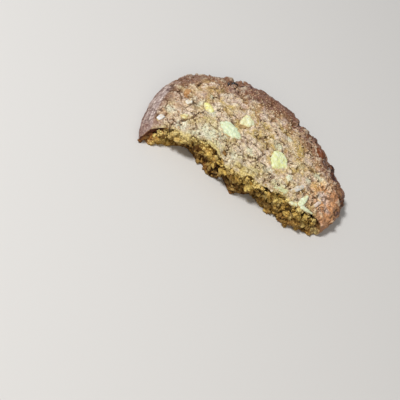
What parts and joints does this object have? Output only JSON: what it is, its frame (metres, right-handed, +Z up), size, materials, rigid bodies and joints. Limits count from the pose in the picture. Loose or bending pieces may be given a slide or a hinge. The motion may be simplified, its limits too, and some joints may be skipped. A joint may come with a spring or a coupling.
{
  "type": "broken half of a white chocolate macadamia cookie",
  "caption": "Half of a domed, craggy cookie with white chocolate and macadamia set in its crust, broken by hand, lying on its flat baked base",
  "frame": {"origin": "middle of the part's footprint on the plane it rests on", "axes": "+X runs along the break from its left tip to its right tip, +Y from the break towards the baked rim, +Z up out of the crust"},
  "size_m": [0.0906, 0.0582, 0.0143],
  "materials": {
    "baked_dough": "baked cookie dough, craggy golden brown crust over an open yellow crumb, matte",
    "white_chocolate": "white chocolate chunk, pale creamy yellow, satin",
    "macadamia": "roasted macadamia piece, off-white, matte"
  },
  "bodies": {
    "root": {"cookie": "baked_dough"}
  },
  "joints": []
}
